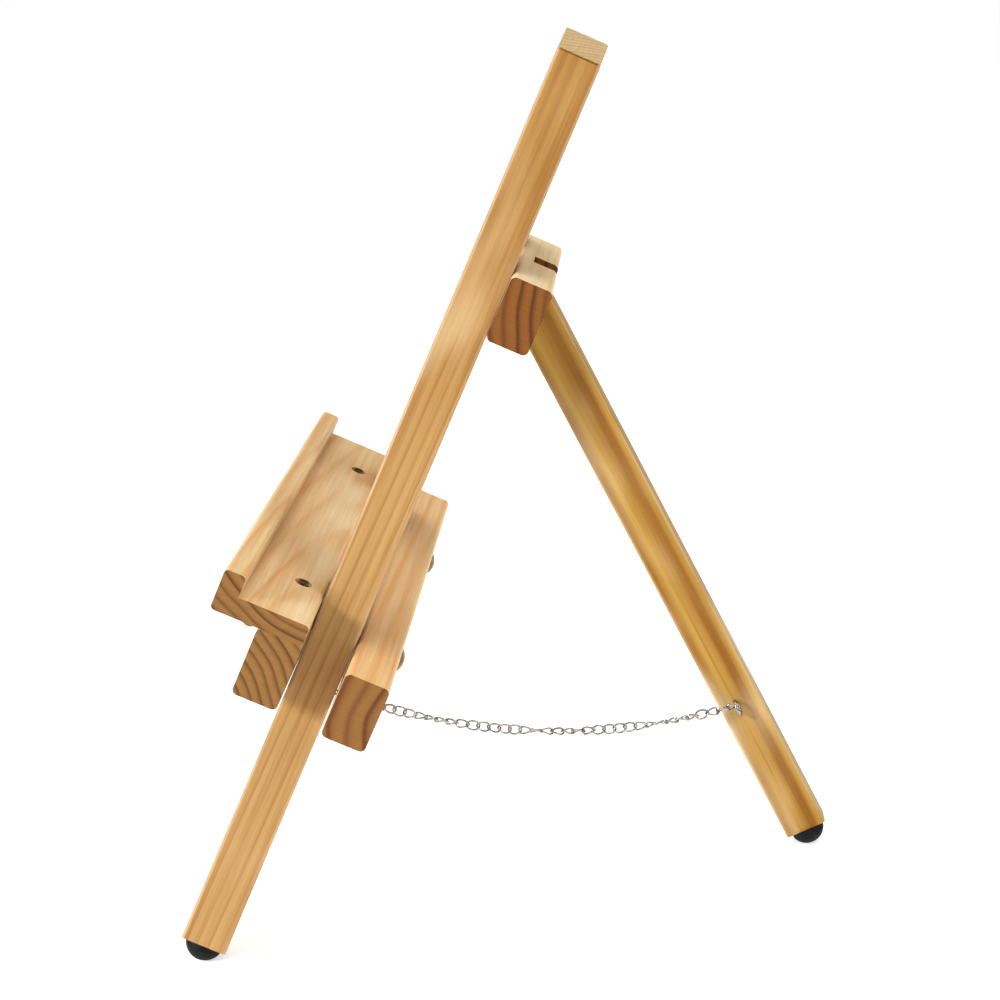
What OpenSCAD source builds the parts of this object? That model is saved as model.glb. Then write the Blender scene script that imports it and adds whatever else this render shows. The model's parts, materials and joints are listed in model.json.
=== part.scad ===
// Tabletop easel: an A-frame of two front legs, a rear leg that folds in a slotted
// block, a tray clamped on the legs by two carriage bolts, and a chain that stops the
// rear leg. It faces -Y, and right is a viewer's in front of it, +X. Sizes are in mm.

/* [Front frame] */
// Backward lean of the front frame from vertical, in degrees
frame_lean = 22.8; // [20:0.2:25]
// Splay of each front leg from the frame's centre line, in degrees
leg_splay = 17; // [16.6:0.1:17.4]
// Half the distance between the outer corners of the front legs at their lower ends
foot_half_spread = 138.4; // [136:0.1:141]
// Height of the front frame, measured up its slope
frame_height = 392; // [388:1:396]
// Depth of a front leg, front to back
leg_depth = 20; // [18:0.5:21]
// Width of a front leg, across the frame
leg_width = 25; // [23:0.5:26]

/* [Hinge block and rear leg] */
// Length of the hinge block, across the frame
block_length = 110; // [100:1:120]
// Depth of the hinge block, front to back
block_depth = 19; // [19:0.5:21]
// Height of the hinge block, up the slope
block_height = 30; // [28:0.5:32]
// Height of the block's lower face, measured up the slope of the frame
block_base = 271.9; // [265:0.1:275]
// Lean of the rear leg from vertical, in degrees
rear_leg_lean = 27.8; // [25:0.2:30]
// Width of the rear leg, along the hinge pin
rear_leg_width = 12.5; // [11:0.5:13]
// Depth of the rear leg
rear_leg_depth = 20; // [18:0.5:20]

/* [Tray and clamp] */
// Length of the tray and of the ledger under it
tray_length = 254; // [240:1:270]
// Depth of the tray, over its lip
tray_depth = 40.7; // [36:0.1:44]
// Thickness of the tray's floor and of its lip
tray_thickness = 9.3; // [8:0.1:10]
// Height of the lip above the tray's floor
lip_rise = 9.5; // [6:0.5:14]
// Height of the tray's upper face, measured up the slope of the frame
tray_level = 149.7; // [146:0.1:152]
// Height of the ledger, up the slope
ledger_height = 31.4; // [28:0.2:32]
// Depth of the ledger, front to back
ledger_depth = 20; // [18:0.5:22]
// Length of the clamp bar behind the legs
clamp_bar_length = 260; // [250:1:270]
// Height of the clamp bar, up the slope
clamp_bar_height = 30.6; // [28:0.2:32]
// Depth of the clamp bar, front to back
clamp_bar_depth = 19.4; // [18:0.2:22]
// Distance of each clamp bolt from the centre line
bolt_offset = 65; // [60:0.5:66]

/* [Feet and chain] */
// Radius of a rubber foot
foot_radius = 7.9; // [6:0.1:8]
// Height of a rubber foot
foot_height = 9.2; // [7:0.1:10]
// Number of links in the chain, an odd number
chain_links = 41; // [37:2:43]
// Sag of the chain at its middle
chain_sag = 17.5; // [14:0.5:20]
// Radius of the chain's wire
wire_radius = 0.45; // [0.4:0.05:0.5]

/* [Hidden] */

pine = [0.82, 0.64, 0.40];
pale_pine = [0.87, 0.71, 0.48];
rubber = [0.10, 0.10, 0.11];
nickel = [0.72, 0.72, 0.74];
yellow_zinc = [0.78, 0.62, 0.30];

// Edge rounding of the legs, of the bars and of the tray
leg_round = 1.5;
bar_round = 2.5;
tray_round = 2;
fine = 48;
small = 24;
// Overlap of a cutting shape past the face that it cuts
past = 1;

// The front legs: the right one stops under the left one's inner upper corner
left_leg_length = (frame_height + leg_width * sin(leg_splay)) / cos(leg_splay);
right_leg_length = frame_height / cos(leg_splay);

// The rear leg's pin, up the slope and behind the legs' front faces
pin_height = 282.9;
pin_depth = 33.7;
pin_radius = 2;
pin_clearance = 0.05;
pin_length = 76;
pin_end = 22;
slot_width = rear_leg_width + 1;
slot_floor = pin_depth - rear_leg_depth / 2 - 0.5;
slot_mouth = 27;

// The rubber feet are cylinders with a spherical cap
cap_rise = 5.4;
cap_radius = (foot_radius * foot_radius + cap_rise * cap_rise) / (2 * cap_rise);
cap_centre = foot_height - cap_radius;

// A front foot's cap centre, up the slope and behind the legs' front faces, which
// sets the height of the frame above the ground
foot_up = -leg_width / 2 * sin(leg_splay) - cap_centre * cos(leg_splay);
frame_z = cap_radius + leg_depth / 2 * sin(frame_lean) - foot_up * cos(frame_lean);
pin_z = frame_z + pin_height * cos(frame_lean) - pin_depth * sin(frame_lean);
rear_leg_length = (pin_z - cap_radius) / cos(rear_leg_lean) - cap_centre;

// The object's front is a front leg's lower inner corner, and its back is the rear
// leg's lower corner: the origin is midway between them, on the ground
corner_x = sin(leg_splay) * sin(frame_lean);
corner_y = cos(frame_lean);
front_reach = (leg_width - leg_round) * corner_x
    + leg_round * (norm([corner_x, corner_y]) - corner_y);
pin_run = pin_height * sin(frame_lean) + pin_depth * cos(frame_lean);
back_reach = pin_run + rear_leg_length * sin(rear_leg_lean)
    + rear_leg_depth / 2 * cos(rear_leg_lean);
frame_y = (front_reach - back_reach) / 2;
pin_y = frame_y + pin_run;

// The tray's assembly, in depth behind the legs' front faces
ledger_back = -0.3;
tray_back = -0.6;
clamp_bar_front = leg_depth + 0.5;
tray_base = tray_level - tray_thickness;
clamp_bar_base = 108;
bolt_height = 124.7;
bolt_radius = 2.5;
bolt_end = -34;
neck_side = 5;
neck_depth = 3.5;
bolt_head_radius = 6.5;
bolt_head_height = 3.2;
washer_thickness = 1;
washer_radius = 6;
wing_gap = 0.3;
wing_turns = [20, -35];

// Screws: where each set goes in
block_screw_x = 37.5;
block_screw_heights = [block_base + 6, block_base + 23];
tray_screw_x = 85;
tray_screw_depth = -11;
tray_screw_recess = 1.5;
apex_screw_along = left_leg_length - 13.5;

// The screw eyes: a ring's height is its centre's, above the wood
eye_wire = 0.85;
eye_ring = 3.4;
eye_height = 4.6;
eye_shank_depth = 10;

// The eyes' places: up the slope on the right leg's inner face, and down the rear leg
front_eye_height = 104.2;
rear_eye_drop = 214.2;
rear_eye_offset = -1.2;

// The chain pulls on the front eye's outermost point, and on the rear eye's ring
// half-way between that and its top
rear_pull_turn = 45;
chain_twist = -50;
link_half_width = 1.3;
link_play = 0.25;
runs = 6;

function frame_point(x, depth, height) = [
    x,
    frame_y + height * sin(frame_lean) + depth * cos(frame_lean),
    frame_z + height * cos(frame_lean) - depth * sin(frame_lean)
];
function rear_leg_point(x, depth, drop) = [
    x,
    pin_y + drop * sin(rear_leg_lean) + depth * cos(rear_leg_lean),
    pin_z - drop * cos(rear_leg_lean) + depth * sin(rear_leg_lean)
];
inner_face_x = foot_half_spread - front_eye_height * tan(leg_splay)
    - leg_width / cos(leg_splay);
chain_front = frame_point(
    inner_face_x - (eye_height + eye_ring) * cos(leg_splay),
    leg_depth / 2,
    front_eye_height - (eye_height + eye_ring) * sin(leg_splay)
);
chain_rear = rear_leg_point(
    rear_leg_width / 2 + eye_height + eye_ring * cos(rear_pull_turn),
    rear_eye_offset,
    rear_eye_drop - eye_ring * sin(rear_pull_turn)
);
chain_chord = chain_rear - chain_front;

// The chain hangs in a parabola: its point and its slope at t, from 0 to 1
function chain_point(t) = chain_front + chain_chord * t - [0, 0, 4 * chain_sag * t * (1 - t)];
function chain_slope(t) = chain_chord - [0, 0, 4 * chain_sag * (1 - 2 * t)];
chain_length = (norm(chain_slope(0)) + 4 * norm(chain_slope(0.5)) + norm(chain_slope(1))) / 6;
// The pitch follows from the length, and an end link's centre lies one hook from its
// screw eye: half the link's inner length less the eye's wire and a little play
end_play = 0.2;
link_pitch = (chain_length + 2 * (eye_wire + end_play) - link_play) / chain_links;
link_half_length = (link_pitch + link_play) / 2;
hook = link_half_length - eye_wire - end_play;
function step_from(t, distance) =
    t + distance / norm(chain_slope(t + distance / chain_length / 2));
function link_t(k) = k == 0 ? step_from(0, hook) : step_from(link_t(k - 1), link_pitch);

module in_frame() {
    translate([0, frame_y, frame_z])
        rotate([-frame_lean, 0, 0])
            children();
}

module in_rear_leg() {
    translate([0, pin_y, pin_z])
        rotate([rear_leg_lean, 0, 0])
            children();
}

// A front leg's own axes: Z runs up the leg from its lower end, and X = 0 is its
// outer face
module in_right_leg() {
    in_frame()
        translate([foot_half_spread, 0, 0])
            rotate([0, -leg_splay, 0])
                children();
}

module in_left_leg() {
    mirror([1, 0, 0])
        in_right_leg()
            children();
}

module rounded_rect(size, r) {
    translate([r, 0])
        square([size[0] - 2 * r, size[1]]);
    translate([0, r])
        square([size[0], size[1] - 2 * r]);
    for (x = [r, size[0] - r], y = [r, size[1] - r])
        translate([x, y])
            circle(r = r, $fn = small);
}

// An upright bar with rounded long edges
module upright_bar(size, length, r) {
    linear_extrude(length)
        rounded_rect(size, r);
}

// A bar across the frame, centred on X = 0, with its section in depth and height
module cross_bar(size, length, r) {
    translate([-length / 2, 0, 0])
        rotate([90, 0, 90])
            linear_extrude(length)
                rounded_rect(size, r);
}

// A countersunk wood screw: Z = 0 is the top of its head and it points down
module screw_body(length, shank, head) {
    translate([0, 0, -length])
        cylinder(r = shank, h = length, $fn = small);
    translate([0, 0, -(head - shank)])
        cylinder(r1 = shank, r2 = head, h = head - shank, $fn = small);
}

module cross_recess(reach, depth) {
    for (turn = [0, 90])
        rotate([0, 0, turn])
            translate([-reach, -0.4, -depth])
                cube([2 * reach, 0.8, depth + past]);
}

module wood_screw(length, shank, head) {
    difference() {
        screw_body(length, shank, head);
        cross_recess(head * 0.55, 1.1);
    }
}

module foot_body() {
    intersection() {
        translate([0, 0, -foot_height])
            cylinder(r = foot_radius, h = foot_height, $fn = fine);
        translate([0, 0, -cap_centre])
            sphere(r = cap_radius, $fn = fine);
    }
    translate([0, 0, -(foot_height - cap_rise)])
        cylinder(r = foot_radius, h = foot_height - cap_rise, $fn = fine);
}

// A round nail through a foot: its head lies in a recess in the foot's cap
nail_radius = 0.9;
nail_head_radius = 2.2;
nail_head_height = 0.8;
nail_length = 22;
nail_recess = 2.5;

module foot_nail() {
    translate([0, 0, -foot_height + nail_recess])
        cylinder(r = nail_head_radius, h = nail_head_height, $fn = small);
    translate([0, 0, -foot_height + nail_recess])
        cylinder(r = nail_radius, h = nail_length, $fn = small);
}

module rubber_foot() {
    difference() {
        foot_body();
        foot_nail();
        translate([0, 0, -foot_height - past])
            cylinder(r = nail_head_radius, h = nail_recess + past, $fn = small);
    }
}

module at_front_foot() {
    translate([-leg_width / 2, leg_depth / 2, 0])
        children();
}

module at_rear_foot() {
    in_rear_leg()
        translate([0, 0, -rear_leg_length])
            children();
}

module at_apex_screw() {
    in_left_leg()
        translate([0, leg_depth / 2, apex_screw_along])
            rotate([0, 90, 0])
                children();
}

module apex_screw_shape() {
    screw_body(38, 1.75, 3.8);
}

module at_block_screws() {
    in_frame()
        for (x = [-block_screw_x, block_screw_x], height = block_screw_heights)
            translate([x, leg_depth + block_depth, height])
                rotate([-90, 0, 0])
                    children();
}

module block_screw_shape() {
    screw_body(32, 1.75, 3.8);
}

module at_tray_screws() {
    in_frame()
        for (x = [-tray_screw_x, tray_screw_x])
            translate([x, tray_screw_depth, tray_level - tray_screw_recess])
                children();
}

module tray_screw_shape() {
    screw_body(24, 1.75, 3.6);
}

module at_bolts() {
    in_frame()
        for (x = [-bolt_offset, bolt_offset])
            translate([x, 0, bolt_height])
                rotate([-90, 0, 0])
                    children();
}

// A screw eye: Z = 0 is the wood's face, and its ring stands on it in the XZ plane
module screw_eye() {
    translate([0, 0, eye_height])
        rotate([90, 0, 0])
            rotate_extrude($fn = fine)
                translate([eye_ring, 0])
                    circle(r = eye_wire, $fn = small);
    eye_shank();
}

module eye_shank() {
    translate([0, 0, -eye_shank_depth])
        cylinder(r = eye_wire, h = eye_shank_depth + eye_height - eye_ring, $fn = small);
}

module at_front_screw_eye() {
    in_frame()
        translate([inner_face_x, leg_depth / 2, front_eye_height])
            rotate([0, -90 - leg_splay, 0])
                children();
}

module at_rear_screw_eye() {
    in_rear_leg()
        translate([rear_leg_width / 2, rear_eye_offset, -rear_eye_drop])
            rotate([0, 90, 0])
                children();
}

module left_leg() {
    color(pine)
        difference() {
            in_left_leg()
                translate([-leg_width, 0, 0])
                    upright_bar([leg_width, leg_depth], left_leg_length, leg_round);
            at_apex_screw()
                apex_screw_shape();
            at_block_screws()
                block_screw_shape();
            in_left_leg()
                at_front_foot()
                    foot_nail();
        }
}

module right_leg() {
    color(pine)
        difference() {
            in_right_leg()
                translate([-leg_width, 0, 0])
                    upright_bar([leg_width, leg_depth], right_leg_length, leg_round);
            // The mitre that meets the left leg's inner face
            in_left_leg()
                translate([-leg_width, -past, frame_height / 2])
                    cube([2 * leg_width, leg_depth + 2 * past, frame_height]);
            at_apex_screw()
                apex_screw_shape();
            at_block_screws()
                block_screw_shape();
            at_front_screw_eye()
                eye_shank();
            in_right_leg()
                at_front_foot()
                    foot_nail();
        }
}

module apex_screw() {
    color(yellow_zinc)
        at_apex_screw()
            wood_screw(38, 1.75, 3.8);
}

// The slot is deeper below the pin, where the rear leg folds in
module block_slot() {
    translate([-slot_width / 2, 0, 0])
        rotate([90, 0, 90])
            linear_extrude(slot_width)
                polygon([
                    [slot_floor, block_base - past],
                    [slot_floor, pin_height + past],
                    [slot_mouth, block_base + block_height],
                    [slot_mouth, block_base + block_height + past],
                    [leg_depth + block_depth + past, block_base + block_height + past],
                    [leg_depth + block_depth + past, block_base - past]
                ]);
}

module hinge_block() {
    color(pale_pine)
        difference() {
            in_frame()
                translate([0, leg_depth, block_base])
                    cross_bar([block_depth, block_height], block_length, bar_round);
            in_frame()
                block_slot();
            in_frame()
                translate([-block_length / 2 - past, pin_depth, pin_height])
                    rotate([0, 90, 0])
                        cylinder(r = pin_radius, h = block_length / 2 + past + pin_end, $fn = fine);
            at_block_screws()
                block_screw_shape();
        }
}

module block_screws() {
    color(yellow_zinc)
        at_block_screws()
            wood_screw(32, 1.75, 3.8);
}

module hinge_pin() {
    color(nickel)
        in_frame()
            translate([pin_end - pin_length, pin_depth, pin_height])
                rotate([0, 90, 0])
                    cylinder(r = pin_radius, h = pin_length, $fn = fine);
}

module rear_leg() {
    half_width = rear_leg_width / 2;
    half_depth = rear_leg_depth / 2;
    color(pine)
        difference() {
            in_rear_leg() {
                translate([-half_width, -half_depth, -rear_leg_length])
                    upright_bar([rear_leg_width, rear_leg_depth], rear_leg_length, leg_round);
                translate([-half_width, 0, 0])
                    rotate([0, 90, 0])
                        cylinder(r = half_depth, h = rear_leg_width, $fn = fine);
            }
            in_rear_leg()
                translate([-half_width - past, 0, 0])
                    rotate([0, 90, 0])
                        cylinder(r = pin_radius + pin_clearance, h = rear_leg_width + 2 * past,
                            $fn = fine);
            at_rear_screw_eye()
                eye_shank();
            at_rear_foot()
                foot_nail();
        }
}

module tray() {
    color(pale_pine)
        difference() {
            in_frame()
                translate([-tray_length / 2, tray_back - tray_depth, tray_base])
                    rotate([90, 0, 90])
                        linear_extrude(tray_length) {
                            rounded_rect([tray_depth, tray_thickness], tray_round);
                            rounded_rect([tray_thickness, tray_thickness + lip_rise], tray_round);
                        }
            at_tray_screws() {
                tray_screw_shape();
                cylinder(r = 3.8, h = tray_screw_recess + past, $fn = small);
            }
        }
}

module tray_screws() {
    color(yellow_zinc)
        at_tray_screws()
            wood_screw(24, 1.75, 3.6);
}

module ledger() {
    color(pine)
        difference() {
            in_frame()
                translate([0, ledger_back - ledger_depth, tray_base - ledger_height])
                    cross_bar([ledger_depth, ledger_height], tray_length, bar_round);
            at_tray_screws()
                tray_screw_shape();
            at_bolts()
                translate([0, 0, ledger_back - ledger_depth - past])
                    cylinder(r = bolt_radius, h = ledger_depth + 2 * past, $fn = small);
        }
}

module clamp_bar() {
    clamp_bar_back = clamp_bar_front + clamp_bar_depth;
    color(pine)
        difference() {
            in_frame()
                translate([0, clamp_bar_front, clamp_bar_base])
                    cross_bar([clamp_bar_depth, clamp_bar_height], clamp_bar_length, bar_round);
            at_bolts() {
                translate([0, 0, clamp_bar_front - past])
                    cylinder(r = bolt_radius, h = clamp_bar_depth, $fn = small);
                translate([-neck_side / 2, -neck_side / 2, clamp_bar_back - neck_depth])
                    cube([neck_side, neck_side, neck_depth + past]);
            }
        }
}

// Carriage bolts: a round head behind the clamp bar and a square neck in it
module clamp_bolts() {
    clamp_bar_back = clamp_bar_front + clamp_bar_depth;
    dome = (bolt_head_radius * bolt_head_radius + bolt_head_height * bolt_head_height)
        / (2 * bolt_head_height);
    color(yellow_zinc)
        at_bolts() {
            intersection() {
                translate([0, 0, clamp_bar_back])
                    cylinder(r = bolt_head_radius, h = bolt_head_height, $fn = fine);
                translate([0, 0, clamp_bar_back + bolt_head_height - dome])
                    sphere(r = dome, $fn = fine);
            }
            translate([-neck_side / 2, -neck_side / 2, clamp_bar_back - neck_depth])
                cube([neck_side, neck_side, neck_depth]);
            translate([0, 0, bolt_end])
                cylinder(r = bolt_radius, h = clamp_bar_back - bolt_end, $fn = small);
        }
}

module clamp_washers() {
    color(yellow_zinc)
        at_bolts()
            translate([0, 0, ledger_back - ledger_depth - washer_thickness])
                difference() {
                    cylinder(r = washer_radius, h = washer_thickness, $fn = small);
                    translate([0, 0, -past])
                        cylinder(r = bolt_radius + 0.2, h = washer_thickness + 2 * past,
                            $fn = small);
                }
}

// A wing nut with its seat at Z = 0, pointing up: a tapered hub and two ears
hub_height = 6;
ear_thickness = 1.8;
ear_radius = 4.2;
ear_reach = 8.6;
ear_rise = 5.2;

module wing_nut() {
    difference() {
        union() {
            cylinder(r1 = 4.8, r2 = 3.9, h = hub_height, $fn = fine);
            for (turn = [0, 180])
                rotate([0, 0, turn])
                    rotate([90, 0, 0])
                        translate([0, 0, -ear_thickness / 2])
                            linear_extrude(ear_thickness) {
                                translate([ear_reach, ear_rise])
                                    circle(r = ear_radius, $fn = small);
                                polygon([[0, 1], [4.4, 1], [ear_reach + 1.5, ear_rise - 2.5],
                                    [ear_reach, ear_rise + 2], [0, 5]]);
                            }
        }
        translate([0, 0, -past])
            cylinder(r = bolt_radius + 0.05, h = hub_height + 8, $fn = small);
    }
}

module at_wing_nut(side) {
    in_frame()
        translate([side * bolt_offset, ledger_back - ledger_depth - washer_thickness - wing_gap,
            bolt_height])
            rotate([90, 0, 0])
                children();
}

module left_wing_nut() {
    color(yellow_zinc)
        at_wing_nut(-1)
            rotate([0, 0, wing_turns[0]])
                wing_nut();
}

module right_wing_nut() {
    color(yellow_zinc)
        at_wing_nut(1)
            rotate([0, 0, wing_turns[1]])
                wing_nut();
}

module front_left_foot() {
    color(rubber)
        in_left_leg()
            at_front_foot()
                rubber_foot();
}

module front_right_foot() {
    color(rubber)
        in_right_leg()
            at_front_foot()
                rubber_foot();
}

module rear_foot() {
    color(rubber)
        at_rear_foot()
            rubber_foot();
}

module front_foot_nails() {
    color(nickel) {
        in_left_leg()
            at_front_foot()
                foot_nail();
        in_right_leg()
            at_front_foot()
                foot_nail();
    }
}

module rear_foot_nail() {
    color(nickel)
        at_rear_foot()
            foot_nail();
}

module front_screw_eye() {
    color(nickel)
        at_front_screw_eye()
            screw_eye();
}

module rear_screw_eye() {
    color(nickel)
        at_rear_screw_eye()
            screw_eye();
}

// One link, flat in XY with its length along X: two straight sides and two half rings
module link() {
    ring_radius = link_half_width + wire_radius;
    straight = round(100 * (link_half_length - link_half_width)) / 100;
    for (side = [0, 1])
        mirror([side, 0, 0])
            translate([straight, 0, 0])
                rotate([0, 0, -90])
                    rotate_extrude(angle = 180, $fn = small)
                        translate([ring_radius, 0])
                            circle(r = wire_radius, $fn = 16);
    for (y = [-ring_radius, ring_radius])
        translate([-straight, y, 0])
            rotate([0, 90, 0])
                cylinder(r = wire_radius, h = 2 * straight, $fn = 16);
}

// A run of the chain: every other link is turned a quarter, and the chain twists slowly
module chain_run(run) {
    first = floor((run - 1) * chain_links / runs);
    last = floor(run * chain_links / runs) - 1;
    color(nickel)
        for (k = [first:last]) {
            t = link_t(k);
            slope = chain_slope(t);
            translate(chain_point(t))
                rotate([0, -atan2(slope[2], norm([slope[0], slope[1]])), atan2(slope[1], slope[0])])
                    rotate([chain_twist * k / (chain_links - 1) + k % 2 * 90, 0, 0])
                        link();
        }
}

left_leg();
right_leg();
apex_screw();
hinge_block();
block_screws();
hinge_pin();
rear_leg();
tray();
tray_screws();
ledger();
clamp_bar();
clamp_bolts();
clamp_washers();
left_wing_nut();
right_wing_nut();
front_left_foot();
front_right_foot();
rear_foot();
front_foot_nails();
rear_foot_nail();
front_screw_eye();
rear_screw_eye();
chain_run(1);  // chain_run_1
chain_run(2);  // chain_run_2
chain_run(3);  // chain_run_3
chain_run(4);  // chain_run_4
chain_run(5);  // chain_run_5
chain_run(6);  // chain_run_6
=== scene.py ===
import json
import math
import random

import bpy
from mathutils import Matrix, Vector


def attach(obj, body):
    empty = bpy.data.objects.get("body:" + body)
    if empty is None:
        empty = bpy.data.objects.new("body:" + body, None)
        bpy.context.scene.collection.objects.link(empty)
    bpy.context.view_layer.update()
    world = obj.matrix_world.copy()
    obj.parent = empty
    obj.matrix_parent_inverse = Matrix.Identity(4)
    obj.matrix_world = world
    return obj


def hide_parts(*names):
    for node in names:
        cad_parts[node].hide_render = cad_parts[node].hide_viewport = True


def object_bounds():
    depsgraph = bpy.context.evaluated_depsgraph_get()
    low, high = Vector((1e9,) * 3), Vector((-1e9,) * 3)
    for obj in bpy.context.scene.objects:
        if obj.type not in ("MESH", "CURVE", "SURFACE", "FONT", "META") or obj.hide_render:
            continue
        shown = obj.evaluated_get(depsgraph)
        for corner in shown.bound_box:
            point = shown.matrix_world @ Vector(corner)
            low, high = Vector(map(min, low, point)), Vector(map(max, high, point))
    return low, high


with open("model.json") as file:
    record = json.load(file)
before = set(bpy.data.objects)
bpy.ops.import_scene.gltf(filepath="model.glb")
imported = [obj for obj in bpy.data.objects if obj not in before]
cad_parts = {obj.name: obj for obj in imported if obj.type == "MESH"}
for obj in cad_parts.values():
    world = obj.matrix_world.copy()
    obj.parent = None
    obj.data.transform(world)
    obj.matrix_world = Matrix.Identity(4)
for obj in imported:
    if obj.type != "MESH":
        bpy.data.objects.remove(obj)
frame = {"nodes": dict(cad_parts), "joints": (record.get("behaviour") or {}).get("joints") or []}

cad_low, cad_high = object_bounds()
MM = 0.001
scene = bpy.context.scene
nodes = frame["nodes"]
joints = {joint["name"]: joint for joint in frame["joints"]}

# The angles of the build, in degrees
FRAME_LEAN = 22.8
LEG_SPLAY = 17.0
REAR_LEAN = 27.8

# ---------------------------------------------------------------- camera and light

# Angles in degrees, the distance in metres and the lens in millimetres
VIEW_AZIMUTH = 86.09
VIEW_ELEVATION = 17.293
VIEW_DISTANCE = 0.8882
VIEW_LENS = 68.61
SENSOR_WIDTH = 36
CLIP_END = 200
# The camera looks at a point in front of and below the easel's middle
AIM_IN_FRONT = 14.26 * MM
AIM_BELOW = 21.15 * MM

# Name, place, size and power of each lamp, in metres and watts
LAMPS = (
    ("key", (1.55, -1.5, 1.08), 0.4, 50),
    ("back", (0.9, 1.7, 1.2), 1.2, 14),
    ("top", (-0.1, 0.1, 2.1), 1.4, 17),
)
LAMP_TARGET = (0, 0, 0.16)

# Reflections see a darker room with a bright ceiling, which gives the metal contrast
ROOM_STRENGTH = 0.6
ROOM_WALL = (0.05, (0.16, 0.16, 0.17, 1))
ROOM_CEILING = (0.62, (1.3, 1.3, 1.3, 1))


def add_camera():
    azimuth = math.radians(VIEW_AZIMUTH)
    elevation = math.radians(VIEW_ELEVATION)
    forward = Vector(
        (
            -math.sin(azimuth) * math.cos(elevation),
            -math.cos(azimuth) * math.cos(elevation),
            -math.sin(elevation),
        )
    )
    middle = (cad_low + cad_high) / 2
    aim = Vector((0, middle.y - AIM_IN_FRONT, middle.z - AIM_BELOW))
    data = bpy.data.cameras.new("camera")
    data.lens = VIEW_LENS
    data.sensor_width = SENSOR_WIDTH
    data.clip_end = CLIP_END
    data.dof.use_dof = False
    camera = bpy.data.objects.new("camera", data)
    scene.collection.objects.link(camera)
    camera.location = aim - forward * VIEW_DISTANCE
    camera.rotation_euler = forward.to_track_quat("-Z", "Y").to_euler()
    scene.camera = camera


def add_lamp(name, location, size, power):
    data = bpy.data.lights.new(name, "AREA")
    data.shape = "DISK"
    data.size = size
    data.energy = power
    lamp = bpy.data.objects.new(name, data)
    scene.collection.objects.link(lamp)
    lamp.location = location
    direction = Vector(LAMP_TARGET) - Vector(location)
    lamp.rotation_euler = direction.to_track_quat("-Z", "Y").to_euler()


def add_room():
    world = bpy.data.worlds.new("studio")
    scene.world = world
    world.use_nodes = True
    tree = world.node_tree
    background = tree.nodes["Background"]
    background.inputs["Strength"].default_value = ROOM_STRENGTH
    path = tree.nodes.new("ShaderNodeLightPath")
    place = tree.nodes.new("ShaderNodeTexCoord")
    split = tree.nodes.new("ShaderNodeSeparateXYZ")
    tree.links.new(place.outputs["Generated"], split.inputs[0])
    room = tree.nodes.new("ShaderNodeValToRGB")
    for element, (position, tone) in zip(room.color_ramp.elements, (ROOM_WALL, ROOM_CEILING)):
        element.position = position
        element.color = tone
    tree.links.new(split.outputs["Z"], room.inputs["Fac"])
    choose = tree.nodes.new("ShaderNodeMix")
    choose.data_type = "RGBA"
    plain, reflected = [i for i in choose.inputs if i.enabled and i.name in ("A", "B")]
    factor = [i for i in choose.inputs if i.enabled and i.name == "Factor"][0]
    plain.default_value = (1.0, 1.0, 1.0, 1)
    tree.links.new(room.outputs["Color"], reflected)
    tree.links.new(path.outputs["Is Glossy Ray"], factor)
    mixed = [o for o in choose.outputs if o.enabled][0]
    tree.links.new(mixed, background.inputs["Color"])


add_camera()
add_room()
for lamp_settings in LAMPS:
    add_lamp(*lamp_settings)
scene.view_settings.view_transform = "Standard"

# ---------------------------------------------------------------- shader helpers


def colour(value):
    if isinstance(value, (int, float)):
        return (value, value, value, 1.0)
    return tuple(value) + (1.0,) if len(value) == 3 else tuple(value)


def blend(a, b, share):
    return tuple(p + (q - p) * share for p, q in zip(a, b))


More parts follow.
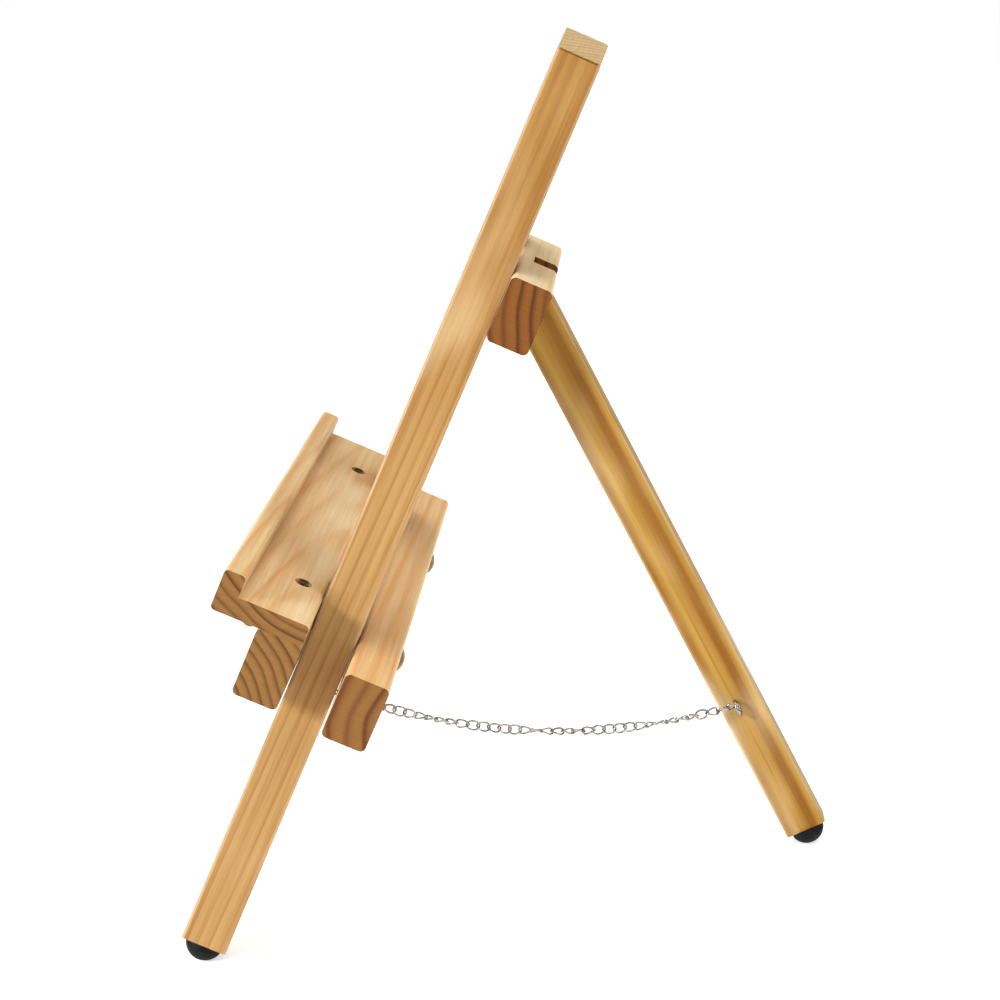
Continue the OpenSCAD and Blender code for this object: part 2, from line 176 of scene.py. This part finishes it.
class Shader:
    """A material's node tree, built by short calls that return sockets."""

    def __init__(self, name):
        self.material = bpy.data.materials.new(name)
        self.material.use_nodes = True
        self.tree = self.material.node_tree
        self.bsdf = self.tree.nodes["Principled BSDF"]

    def put(self, node, sockets):
        for key, value in sockets.items():
            socket = node.inputs[key]
            if isinstance(value, bpy.types.NodeSocket):
                self.tree.links.new(value, socket)
            else:
                socket.default_value = value
        return node

    def node(self, kind, sockets=None, **settings):
        made = self.tree.nodes.new(kind)
        for key, value in settings.items():
            setattr(made, key, value)
        return self.put(made, sockets or {})

    def maths(self, operation, *values, clamp=False):
        sockets = dict(enumerate(values))
        made = self.node("ShaderNodeMath", sockets, operation=operation, use_clamp=clamp)
        return made.outputs[0]

    def vector(self, operation, a, b=None, scale=None):
        sockets = {0: a}
        if b is not None:
            sockets[1] = b
        if scale is not None:
            sockets["Scale"] = scale
        made = self.node("ShaderNodeVectorMath", sockets, operation=operation)
        return made.outputs["Value" if operation in ("LENGTH", "DOT_PRODUCT") else "Vector"]

    def object_coordinates(self, rotation=(0, 0, 0), location=(0, 0, 0)):
        made = self.node("ShaderNodeTexCoord")
        sockets = {"Vector": made.outputs["Object"], "Rotation": rotation, "Location": location}
        return self.node("ShaderNodeMapping", sockets).outputs["Vector"]

    def stretched(self, coordinates, scale, shift=(0, 0, 0)):
        sockets = {"Vector": coordinates, "Scale": scale, "Location": shift}
        return self.node("ShaderNodeMapping", sockets).outputs["Vector"]

    def noise(self, coordinates, scale, detail, roughness):
        sockets = {
            "Vector": coordinates,
            "Scale": scale,
            "Detail": detail,
            "Roughness": roughness,
        }
        return self.node("ShaderNodeTexNoise", sockets)

    def ramp(self, factor, stops):
        made = self.node("ShaderNodeValToRGB", {"Fac": factor})
        made.color_ramp.interpolation = "B_SPLINE"
        elements = made.color_ramp.elements
        while len(elements) > 1:
            elements.remove(elements[-1])
        elements[0].position = stops[0][0]
        elements[0].color = colour(stops[0][1])
        for position, value in stops[1:]:
            elements.new(position).color = colour(value)
        return made.outputs["Color"]

    def mix(self, factor, a, b, blend_type="MIX"):
        made = self.node("ShaderNodeMix", data_type="RGBA", blend_type=blend_type)
        made.clamp_factor = True
        for key, value in (("Factor", factor), ("A", a), ("B", b)):
            socket = [s for s in made.inputs if s.name == key and s.enabled][0]
            if isinstance(value, bpy.types.NodeSocket):
                self.tree.links.new(value, socket)
            else:
                socket.default_value = value if key == "Factor" else colour(value)
        return [s for s in made.outputs if s.enabled][0]

    def range(self, value, low, high, to_low=0.0, to_high=1.0, smooth=True):
        sockets = {
            "Value": value,
            "From Min": low,
            "From Max": high,
            "To Min": to_low,
            "To Max": to_high,
        }
        kind = "SMOOTHSTEP" if smooth else "LINEAR"
        return self.node("ShaderNodeMapRange", sockets, interpolation_type=kind).outputs["Result"]

    def bump(self, height, strength, distance):
        sockets = {"Height": height, "Strength": strength, "Distance": distance}
        return self.node("ShaderNodeBump", sockets).outputs["Normal"]


# ---------------------------------------------------------------- directions

lean = math.radians(FRAME_LEAN)
splay = math.radians(LEG_SPLAY)
rear = math.radians(REAR_LEAN)
BACKWARD = Vector((0, math.cos(lean), -math.sin(lean)))
UP_SLOPE = Vector((0, math.sin(lean), math.cos(lean)))
ACROSS = Vector((1, 0, 0))


def in_slope(x, up):
    return ACROSS * x + UP_SLOPE * up


# The width, the depth and the length of each stick
RIGHT_AXES = (
    in_slope(math.cos(splay), math.sin(splay)),
    BACKWARD,
    in_slope(-math.sin(splay), math.cos(splay)),
)
LEFT_AXES = (
    in_slope(math.cos(splay), -math.sin(splay)),
    BACKWARD,
    in_slope(math.sin(splay), math.cos(splay)),
)
REAR_AXES = (
    ACROSS,
    Vector((0, math.cos(rear), math.sin(rear))),
    Vector((0, -math.sin(rear), math.cos(rear))),
)
CROSS_AXES = (BACKWARD, UP_SLOPE, ACROSS)


def stick(node, axes):
    """The rotation, the centre and the half sizes of a node along its own axes."""
    rows = Matrix(axes)
    local = [rows @ v.co for v in nodes[node].data.vertices]
    low = Vector([min(p[i] for p in local) for i in range(3)])
    high = Vector([max(p[i] for p in local) for i in range(3)])
    return rows, (low + high) / 2, (high - low) / 2


# ---------------------------------------------------------------- wood

# Each texture's stretch per metre along a stick's width, depth and length, its shift, in
# which None stands for the stick's seed, and its detail and roughness
GRAIN = {
    "slow_warp": ((9, 9, 2.6), (None, 0, 0), 1.5, 0.45),
    "fine_warp": ((55, 55, 9), (0, None, 0), 2.0, 0.5),
    "fibre": ((1500, 1500, 26), (None, 3, 0), 3.0, 0.6),
    "streak": ((260, 260, 5), (3, None, 0), 2.0, 0.5),
    "fleck": ((2600, 2600, 130), (None, 0, 7), 1.0, 0.5),
    "broad": ((30, 30, 9), (7, 0, None), 2.0, 0.5),
    "dash": ((820, 820, 16), (2, 5, None), 2.0, 0.55),
    "pore": ((2400, 2400, 300), (1, None, 0), 2.0, 0.6),
    "saw": ((60, 2600, 60), (None, 1, 0), 2.0, 0.5),
    # This noise breaks up the painted highlight on the rounded edges
    "edge_highlight_breakup": ((60, 60, 18), (0, 0, 0), 3.0, 0.6),
}
SLOW_WARP = 26 * MM
FINE_WARP = 0.5 * MM
# The rings' uneven spacing: its scale, detail and roughness
UNEVEN = (34, 1.0, 0.5)
YEAR_DEPTH = (0.6, 1.0)

# The values of a texture between which a feature comes in, and how strongly it shows
STREAK = (0.35, 0.72, 0.5)
DASH = (0.56, 0.72, 0.42)
PALE_ZONE = (0.48, 0.7, 0.7)
WARM_ZONE = (0.3, 0.5, 0.5)
FLECK = (0.64, 0.78, 0.3)
PORE = (0.5, 0.72, 0.4)
END_FACING = (0.72, 0.93)
PALE_TINT = (0.93, 0.82, 0.60)
PALE_SHARE = 0.35
GLOW_SHARE = 0.55
FLECK_COLOUR = (0.30, 0.15, 0.05)
PORE_COLOUR = (0.10, 0.045, 0.015)
# Factors on the colour, from a texture's low values to its high ones
FIBRE_TONE = (0.2, 0.8, 0.86, 1.08)
SAW_TONE = (0.3, 0.7, 0.9, 1.08)
END_RINGS = 1.35
# The part of a stick's half length over which its far end's tone comes in
FAR_FROM, FAR_TO = -0.2, 0.9

# The painted highlight on the rounded edges: its width, its tint and how strongly it shows
EDGE_FROM, EDGE_TO = 1.6 * MM, 0.2 * MM
EDGE_HIGHLIGHT_TINT = (0.9, 0.76, 0.52)
EDGE_SHARE = 0.4
EDGE_STRENGTH = 0.6
EDGE_HIGHLIGHT_BREAKUP = (0.3, 0.6, 0.2, 1.0)

WOOD_ROUGHNESS = (0.2, 0.8, 0.42, 0.54)
END_ROUGHNESS = 0.16
BUMP_FIBRE, BUMP_RING, BUMP_FLECK = 0.5, 0.55, 0.4
BUMP_STRENGTH = 0.28
BUMP_DEPTH = 0.09 * MM


def late_wood_stops(soft):
    """How dark a year's growth is from its start to its end; soft blurs the dark line."""
    return [
        (0.0, 0.42 + 0.1 * soft),
        (0.1 + 0.1 * soft, 0.04),
        (0.5, 0.1),
        (0.78 - 0.1 * soft, 0.46),
        (0.93 - 0.1 * soft, 1.0),
        (1.0, 0.44 + 0.1 * soft),
    ]


class Wood(Shader):
    """Softwood in a stick's own axes: growth rings round a pith line beside the stick."""

    def __init__(self, node, axes, seed):
        super().__init__("wood_" + node)
        rows, centre, self.half = stick(node, axes)
        self.seed = seed
        self.place = self.object_coordinates(rows.to_euler("XYZ"), -centre)
        self.parts = self.node("ShaderNodeSeparateXYZ", {0: self.place}).outputs
        facing = self.node("ShaderNodeTexCoord").outputs["Normal"]
        along = self.vector("DOT_PRODUCT", facing, tuple(axes[2]))
        self.end_grain = self.range(self.maths("ABSOLUTE", along), *END_FACING)
        self.fibre = self.grain("fibre").outputs["Fac"]
        self.flecks = self.range(self.grain("fleck").outputs["Fac"], *FLECK[:2])
        self.saw = self.grain("saw").outputs["Fac"]

    def grain(self, kind):
        stretch, shift, detail, roughness = GRAIN[kind]
        shift = tuple(self.seed if part is None else part for part in shift)
        return self.noise(self.stretched(self.place, stretch, shift), 1.0, detail, roughness)

    def feature(self, kind, limits):
        low, high, strength = limits
        shown = self.range(self.grain(kind).outputs["Fac"], low, high)
        return self.maths("MULTIPLY", shown, strength)

    def warp(self, kind, size):
        centred = self.vector("SUBTRACT", self.grain(kind).outputs["Color"], (0.5, 0.5, 0.5))
        return self.vector("SCALE", centred, scale=size)

    def rings(self, ring, pith, tilt, wave, soft):
        """How much of the dark late wood shows, with slow warps that bend the grain."""
        bent = self.vector("ADD", self.place, self.warp("slow_warp", SLOW_WARP * wave))
        bent = self.vector("ADD", bent, self.warp("fine_warp", FINE_WARP))
        across_x = self.vector("DOT_PRODUCT", bent, (1, 0, tilt[0]))
        across_y = self.vector("DOT_PRODUCT", bent, (0, 1, tilt[1]))
        from_pith = {
            0: self.maths("SUBTRACT", across_x, pith[0] * MM),
            1: self.maths("SUBTRACT", across_y, pith[1] * MM),
        }
        section = self.node("ShaderNodeCombineXYZ", from_pith).outputs[0]
        radius = self.vector("LENGTH", section)
        shifted = self.stretched(section, (1, 1, 1), (self.seed * 2, 0, 0))
        uneven = self.noise(shifted, *UNEVEN).outputs["Fac"]
        turns = self.maths("MULTIPLY_ADD", radius, 1 / (ring * MM), uneven)
        late_wood = self.ramp(self.maths("FRACT", turns), late_wood_stops(soft))
        # Some years are darker than others
        year = self.maths("ADD", self.maths("FLOOR", turns), self.seed)
        tone = self.node("ShaderNodeTexWhiteNoise", {"W": year}, noise_dimensions="1D")
        year_depth = self.range(tone.outputs["Value"], 0, 1, *YEAR_DEPTH, False)
        return self.maths("MULTIPLY", late_wood, year_depth)

    def face(self, depth, early, late, contrast, far):
        """The long faces: rings, fibres, flecks and broad changes of tone."""
        body = self.mix(self.maths("MULTIPLY", depth, contrast), early, late)
        low, high, strength = STREAK
        streak = self.grain("streak").outputs["Fac"]
        body = self.mix(self.range(streak, low, high, 0.0, strength), body, late)
        body = self.mix(self.feature("dash", DASH), body, late)
        broad = self.grain("broad").outputs
        low, high, strength = PALE_ZONE
        pale = self.range(broad["Fac"], low, high, 0.0, strength)
        body = self.mix(pale, body, blend(early, PALE_TINT, PALE_SHARE))
        low, high, strength = WARM_ZONE
        warm = self.maths("MULTIPLY", self.range(broad["Color"], low, high, 1.0, 0.0), strength)
        body = self.mix(warm, body, blend(early, late, GLOW_SHARE))
        body = self.mix(1.0, body, self.range(self.fibre, *FIBRE_TONE, False), "MULTIPLY")
        body = self.mix(self.maths("MULTIPLY", self.flecks, FLECK[2]), body, FLECK_COLOUR)
        if far:
            # The stick grows darker or paler towards its far end
            length = self.half[2]
            share = self.range(self.parts[2], length * FAR_FROM, length * FAR_TO)
            body = self.mix(share, body, self.mix(1.0, body, far, "MULTIPLY"))
        return body

    def sawn_end(self, depth, ends):
        """Sawn ends drink in the varnish: darker, with pores and faint saw marks."""
        rings = self.maths("MULTIPLY", depth, END_RINGS, clamp=True)
        dark = self.mix(rings, *ends)
        low, high, strength = PORE
        pores = self.range(self.grain("pore").outputs["Fac"], low, high, 0.0, strength)
        dark = self.mix(pores, dark, PORE_COLOUR)
        return self.mix(1.0, dark, self.range(self.saw, *SAW_TONE, False), "MULTIPLY")

    def painted_edge_highlight(self, body, early):
        """The long rounded edges are painted a little paler: a painted highlight, broken up by a
        noise.
        """
        near = [
            self.range(
                self.maths("ABSOLUTE", self.parts[i]),
                self.half[i] - EDGE_FROM,
                self.half[i] - EDGE_TO,
            )
            for i in range(2)
        ]
        edge = self.maths("MULTIPLY", *near)
        # A noise breaks up the painted edge highlight
        edge_breakup = self.range(self.grain("edge_highlight_breakup").outputs["Fac"], *EDGE_HIGHLIGHT_BREAKUP)
        edge = self.maths("MULTIPLY", edge, edge_breakup)
        on_ends = self.maths("MULTIPLY", self.end_grain, EDGE_STRENGTH)
        edge = self.maths("MULTIPLY", edge, self.maths("SUBTRACT", EDGE_STRENGTH, on_ends))
        return self.mix(edge, body, blend(early, EDGE_HIGHLIGHT_TINT, EDGE_SHARE))

    def roughness(self):
        along = self.range(self.fibre, *WOOD_ROUGHNESS, False)
        return self.maths("ADD", along, self.maths("MULTIPLY", self.end_grain, END_ROUGHNESS))

    def relief(self, depth):
        height = self.maths(
            "ADD",
            self.maths("MULTIPLY", self.fibre, BUMP_FIBRE),
            self.maths("MULTIPLY", depth, BUMP_RING),
        )
        sunk = self.maths("MULTIPLY", self.flecks, BUMP_FLECK)
        height = self.maths("SUBTRACT", height, sunk)
        sawn = self.maths("MULTIPLY", self.saw, self.end_grain)
        return self.bump(self.maths("ADD", height, sawn), BUMP_STRENGTH, BUMP_DEPTH)


def wood(node, axes, face, ends, ring, pith, tilt, seed, contrast, wave, soft, far=None):
    """ring and pith are in millimetres, and tilt is the pith's slope along the stick."""
    s = Wood(node, axes, seed)
    early, late = face
    depth = s.rings(ring, pith, tilt, wave, soft)
    body = s.face(depth, early, late, contrast, far)
    body = s.mix(s.end_grain, body, s.sawn_end(depth, ends))
    sockets = {
        # The base colour carries a painted highlight along the rounded edges
        "Base Color": s.painted_edge_highlight(body, early),
        "Roughness": s.roughness(),
        "Normal": s.relief(depth),
        "Specular IOR Level": 0.16,
        "Coat Weight": 0.035,
        "Coat Roughness": 0.25,
    }
    s.put(s.bsdf, sockets)
    return s.material


# Early and late wood on the long faces, and then on the sawn ends
HONEY = ((0.42, 0.25, 0.092), (0.27, 0.12, 0.028))
TRAY = ((0.68, 0.49, 0.245), (0.55, 0.26, 0.075))
PEACH = ((0.72, 0.48, 0.23), (0.60, 0.27, 0.07))
BLOCK = ((0.74, 0.56, 0.31), (0.62, 0.42, 0.20))
AMBER = ((0.42, 0.245, 0.046), (0.20, 0.073, 0.002))
TRAY_END = ((0.22, 0.100, 0.024), (0.075, 0.026, 0.005))
LEDGER_END = ((0.23, 0.108, 0.026), (0.085, 0.032, 0.006))
BAR_END = ((0.21, 0.094, 0.020), (0.105, 0.028, 0.005))
BLOCK_END = ((0.185, 0.062, 0.006), (0.07, 0.020, 0.002))
LEG_END = ((0.47, 0.34, 0.165), (0.35, 0.22, 0.085))
# A factor on the upper ends of the front legs
RED = (0.72, 0.58, 0.34)

# Axes, face and end colours, then ring, pith, tilt, seed, contrast, wave, soft and far
WOODS = {
    "left_leg": (
        (LEFT_AXES, HONEY, LEG_END),
        (3.0, (52, 34), (0.012, 0.006), 1.3, 0.7, 0.5, 0, RED),
    ),
    "right_leg": (
        (RIGHT_AXES, HONEY, LEG_END),
        (3.4, (54, -40), (0.008, -0.008), 4.7, 0.85, 0.4, 0, RED),
    ),
    "hinge_block": (
        (CROSS_AXES, BLOCK, BLOCK_END),
        (5.2, (95, 34), (0.02, 0.01), 2.2, 0.7, 0.3, 0.6),
    ),
    "rear_leg": (
        (REAR_AXES, AMBER, LEG_END),
        (11.0, (12, -66), (0.01, 0.012), 8.1, 1.45, 0.85, 1.0),
    ),
    "tray": (
        (CROSS_AXES, TRAY, TRAY_END),
        (4.6, (24, 62), (0.03, 0.05), 5.9, 0.9, 0.5, 0.2),
    ),
    "ledger": (
        (CROSS_AXES, HONEY, LEDGER_END),
        (4.4, (-34, -36), (0.02, 0.02), 6.6, 0.9, 0.3, 0.2),
    ),
    "clamp_bar": (
        (CROSS_AXES, PEACH, BAR_END),
        (7.6, (74, 12), (0.03, 0.02), 9.4, 0.8, 0.3, 0.6),
    ),
}

# ---------------------------------------------------------------- other materials

# Scale, detail and roughness of each texture
RUBBER_GRAIN = (1400, 4, 0.6)
RUBBER_DUST = (160, 3, 0.6)
PLATE_CLOUD = (420, 3, 0.6)
PLATE_SMEAR = (900, 3, 0.65)
PLATE_SCRATCH = (1.0, 2, 0.6)
SCRATCH_STRETCH = (900, 5200, 1500)
# A smear's darkest and brightest parts, as factors on the plate's roughness
SMEAR_FROM, SMEAR_TO = 0.75, 1.35


def rubber():
    s = Shader("black_rubber")
    place = s.object_coordinates()
    grain = s.noise(place, *RUBBER_GRAIN).outputs["Fac"]
    dust = s.noise(place, *RUBBER_DUST).outputs["Fac"]
    dusty = s.range(dust, 0.4, 0.75)
    sockets = {
        "Base Color": s.mix(dusty, (0.004, 0.004, 0.005), (0.012, 0.012, 0.013)),
        "Roughness": s.range(dust, 0.3, 0.7, 0.5, 0.7),
        "Specular IOR Level": 0.1,
        "Normal": s.bump(grain, 0.25, 0.08 * MM),
    }
    s.put(s.bsdf, sockets)
    return s.material


def plated(name, base, tint, roughness):
    """Plated metal: a little colour variation, smears and fine scratches."""
    s = Shader(name)
    place = s.object_coordinates()
    cloud = s.noise(place, *PLATE_CLOUD).outputs["Fac"]
    scratch = s.noise(s.stretched(place, SCRATCH_STRETCH), *PLATE_SCRATCH).outputs["Fac"]
    smear = s.noise(place, *PLATE_SMEAR).outputs["Fac"]
    smooth, dull = roughness * SMEAR_FROM, roughness * SMEAR_TO
    sockets = {
        "Base Color": s.mix(s.range(cloud, 0.35, 0.68), base, tint),
        "Metallic": 1.0,
        "Roughness": s.range(smear, 0.3, 0.7, smooth, dull),
        "Normal": s.bump(scratch, 0.1, 0.03 * MM),
    }
    s.put(s.bsdf, sockets)
    return s.material


BLACK = rubber()
NICKEL = plated("nickel_plate", (0.44, 0.42, 0.39), (0.20, 0.18, 0.16), 0.16)
ZINC = plated("yellow_zinc_plate", (0.23, 0.155, 0.06), (0.13, 0.085, 0.035), 0.22)
BRONZE = plated("dark_bronze", (0.30, 0.19, 0.10), (0.15, 0.09, 0.05), 0.4)
STEEL = plated("bright_steel", (0.38, 0.37, 0.36), (0.26, 0.25, 0.24), 0.3)

FINISHES = {
    "apex_screw": ZINC,
    "block_screws": ZINC,
    "tray_screws": BRONZE,
    "clamp_bolts": ZINC,
    "clamp_washers": ZINC,
    "left_wing_nut": ZINC,
    "right_wing_nut": ZINC,
    "hinge_pin": STEEL,
    "front_foot_nails": STEEL,
    "rear_foot_nail": STEEL,
    "front_left_foot": BLACK,
    "front_right_foot": BLACK,
    "rear_foot": BLACK,
    "front_screw_eye": NICKEL,
    "rear_screw_eye": NICKEL,
}

WELD = 0.002 * MM
EASE_WIDTH = 0.45 * MM
EASE_SEGMENTS = 2
EASE_ANGLE = math.radians(48)


def ease_edges(node):
    """Eases the sharp edges of a CAD node, which stays as it is under its modifiers."""
    weld = node.modifiers.new("weld", "WELD")
    weld.merge_threshold = WELD
    bevel = node.modifiers.new("ease", "BEVEL")
    bevel.width = EASE_WIDTH
    bevel.segments = EASE_SEGMENTS
    bevel.limit_method = "ANGLE"
    bevel.angle_limit = EASE_ANGLE
    bevel.use_clamp_overlap = True
    normals = node.modifiers.new("normals", "WEIGHTED_NORMAL")
    normals.keep_sharp = True


def finish(name, material):
    nodes[name].data.materials.clear()
    nodes[name].data.materials.append(material)


for name, (kind, figure) in WOODS.items():
    finish(name, wood(name, *kind, *figure))
    ease_edges(nodes[name])

for name, material in FINISHES.items():
    finish(name, material)

# ---------------------------------------------------------------- chain

RUNS = 6
LINKS = 41
SAG = 17.5 * MM
EYE_WIRE = 0.85 * MM
END_PLAY = 0.2 * MM
PLAY = 0.25 * MM
WIRE = 0.49 * MM
WIRE_SIDES = 10
LINK_WIDTH = 2.02 * MM
LINK_TWIST = math.radians(64)
LINK_POINTS = 40
# The exponent of a link's oval: under 1 is squarer than an ellipse
LINK_SQUARENESS = 0.9
# The chain's roll in degrees at even steps from its front end to its rear end
CHAIN_TURNS = (0.0, 20, 150, 35, 200, 60, 175, -50)
# Each link's own roll, at random, in degrees to either side
LINK_WOBBLE = 6
ARC_STEPS = 2000
SLOPE_STEP = 0.001

chain_front = Vector(joints["chain_run_1_swing"]["pos_m"])
chain_rear = Vector(joints["chain_run_6_swing"]["pos_m"])


def chain_point(t):
    return chain_front.lerp(chain_rear, t) - Vector((0, 0, 4 * SAG * t * (1 - t)))


def chain_lengths():
    lengths = [0.0]
    for i in range(ARC_STEPS):
        a, b = chain_point(i / ARC_STEPS), chain_point((i + 1) / ARC_STEPS)
        lengths.append(lengths[-1] + (b - a).length)
    return lengths


arc = chain_lengths()


def at_arc(distance):
    """The t of the point at a distance along the chain."""
    low, high = 0, ARC_STEPS
    while high - low > 1:
        middle = (low + high) // 2
        if arc[middle] < distance:
            low = middle
        else:
            high = middle
    share = (distance - arc[low]) / (arc[high] - arc[low])
    return (low + share) / ARC_STEPS


pitch = (arc[-1] + 2 * (EYE_WIRE + END_PLAY) - PLAY) / LINKS
half_length = (pitch + PLAY) / 2
hook = half_length - EYE_WIRE - END_PLAY


def squared(value):
    return math.copysign(abs(value) ** LINK_SQUARENESS, value)


def link_ring():
    """The centreline of a curb link: an oval whose two ends are turned against each other."""
    points = []
    long_half = half_length + WIRE
    for i in range(LINK_POINTS):
        angle = 2 * math.pi * i / LINK_POINTS
        x = long_half * squared(math.cos(angle))
        y = LINK_WIDTH * squared(math.sin(angle))
        turn = LINK_TWIST / 2 * x / long_half
        points.append(Vector((x, y * math.cos(turn), y * math.sin(turn))))
    return points


def wire_ring(points):
    """Vertices and faces of a closed ring of round wire along points."""
    n = len(points)
    tangents = [(points[(i + 1) % n] - points[i - 1]).normalized() for i in range(n)]
    normal = tangents[0].orthogonal().normalized()
    frames = []
    for t in tangents:
        normal = (normal - t * normal.dot(t)).normalized()
        frames.append((normal.copy(), t.cross(normal)))
    # The frames drift round the ring, and each takes its share of the correction
    last = (frames[-1][0] - tangents[0] * frames[-1][0].dot(tangents[0])).normalized()
    drift = math.atan2(last.dot(frames[0][1]), last.dot(frames[0][0]))
    vertices, faces = [], []
    for i, (p, (u, v)) in enumerate(zip(points, frames)):
        correction = -drift * i / n
        for k in range(WIRE_SIDES):
            a = 2 * math.pi * k / WIRE_SIDES + correction
            vertices.append(p + u * (WIRE * math.cos(a)) + v * (WIRE * math.sin(a)))
        here, after = i * WIRE_SIDES, (i + 1) % n * WIRE_SIDES
        for k in range(WIRE_SIDES):
            m = (k + 1) % WIRE_SIDES
            faces.append((here + k, here + m, after + m, after + k))
    return vertices, faces


def link_roll(k):
    place = k / (LINKS - 1) * (len(CHAIN_TURNS) - 1)
    low = min(int(place), len(CHAIN_TURNS) - 2)
    share = place - low
    share = share * share * (3 - 2 * share)
    turn = CHAIN_TURNS[low] * (1 - share) + CHAIN_TURNS[low + 1] * share
    return math.radians(turn) + math.radians(random.uniform(-LINK_WOBBLE, LINK_WOBBLE))


def link(k, ring):
    """Vertices and faces of the chain's link k."""
    t = at_arc(hook + pitch * k)
    p = chain_point(t)
    d = (chain_point(t + SLOPE_STEP) - chain_point(t - SLOPE_STEP)).normalized()
    side = Vector((0, 0, 1)).cross(d).normalized()
    up = d.cross(side)
    roll = link_roll(k)
    y = side * math.cos(roll) + up * math.sin(roll)
    z = d.cross(y)
    return wire_ring([p + d * q.x + y * q.y + z * q.z for q in ring])


def new_mesh(name, vertices, faces, material, smooth=True):
    mesh = bpy.data.meshes.new(name)
    mesh.from_pydata([tuple(v) for v in vertices], [], faces)
    mesh.materials.append(material)
    for polygon in mesh.polygons:
        polygon.use_smooth = smooth
    mesh.update()
    made = bpy.data.objects.new(name, mesh)
    scene.collection.objects.link(made)
    return made


def make_chain():
    random.seed(11)
    ring = link_ring()
    for run in range(1, RUNS + 1):
        vertices, faces = [], []
        for k in range((run - 1) * LINKS // RUNS, run * LINKS // RUNS):
            link_vertices, link_faces = link(k, ring)
            base = len(vertices)
            vertices += link_vertices
            faces += [tuple(i + base for i in face) for face in link_faces]
        made = new_mesh(f"chain_links_{run}", vertices, faces, NICKEL)
        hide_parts(f"chain_run_{run}")
        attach(made, f"chain_run_{run}")


make_chain()

# ---------------------------------------------------------------- floor

FLOOR_HALF = 40
FLOOR_PALE = (0.86, 0.88)
FLOOR_ROUGHNESS = 0.8
FLOOR_GLOW = 0.46
FLOOR_CLOUD = (3, 2, 0.5)


def make_floor():
    corners = [
        (-FLOOR_HALF, -FLOOR_HALF, 0),
        (FLOOR_HALF, -FLOOR_HALF, 0),
        (FLOOR_HALF, FLOOR_HALF, 0),
        (-FLOOR_HALF, FLOOR_HALF, 0),
    ]
    s = Shader("pale_floor")
    cloud = s.noise(s.object_coordinates(), *FLOOR_CLOUD).outputs["Fac"]
    sockets = {
        "Base Color": s.mix(cloud, *FLOOR_PALE),
        "Roughness": FLOOR_ROUGHNESS,
        "Emission Color": (1, 1, 1, 1),
        "Emission Strength": FLOOR_GLOW,
    }
    s.put(s.bsdf, sockets)
    floor = new_mesh("floor", corners, [(0, 1, 2, 3)], s.material, False)


make_floor()
